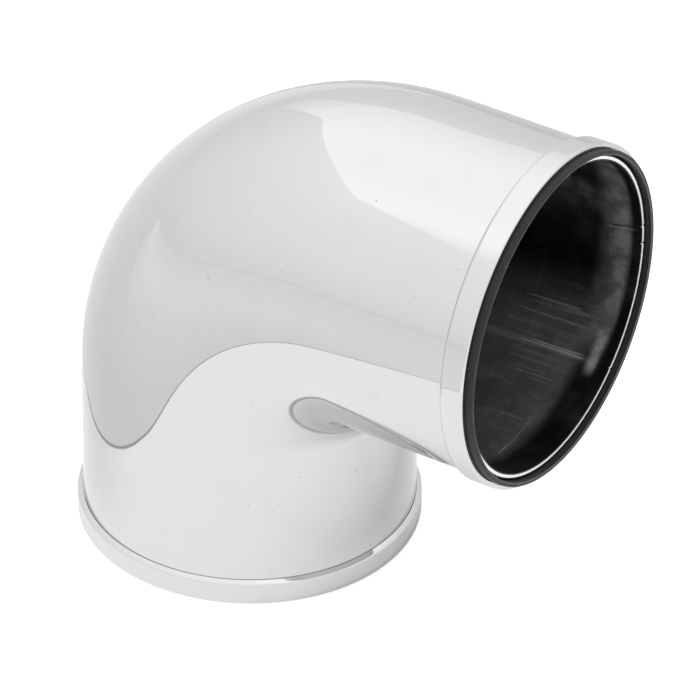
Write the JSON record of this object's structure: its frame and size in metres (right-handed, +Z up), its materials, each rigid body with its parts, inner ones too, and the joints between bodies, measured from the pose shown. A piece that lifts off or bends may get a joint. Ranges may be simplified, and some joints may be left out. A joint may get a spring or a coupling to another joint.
{
  "type": "cowl vent",
  "caption": "Chromed right-angle cowl vent of one bore, with banded ends and a rubber mouth seal, swivelling on a deck ring.",
  "frame": {"origin": "on the deck plane, below the middle of the bounding box", "axes": "+X out of the mouth, +Z up along the neck's axis, and the XZ plane is the plane of symmetry"},
  "size_m": [0.1642, 0.1074, 0.1637],
  "materials": {
    "chrome": "polished plating",
    "black_paint": "worn satin black, bare at the cut edge",
    "rubber": "moulded, satin",
    "steel": "turned, satin",
    "nylon": "turned nylon"
  },
  "bodies": {
    "deck_base": {"deck_ring": "steel", "deck_gasket": "rubber", "thrust_washer": "nylon", "neck_o_ring": "rubber", "retaining_ring": "steel"},
    "cowl": {"cowl_shell": "chrome", "neck_band": "chrome", "mouth_band": "chrome", "mouth_seal": "rubber", "mouth_sleeve": "black_paint", "neck_bush": "nylon"}
  },
  "joints": [
    {"name": "cowl_swivel", "type": "hinge", "parent": "deck_base", "child": "cowl", "pos_m": [-0.02835, 0, 0], "axis": [0, 0, 1], "continuous": true}
  ]
}
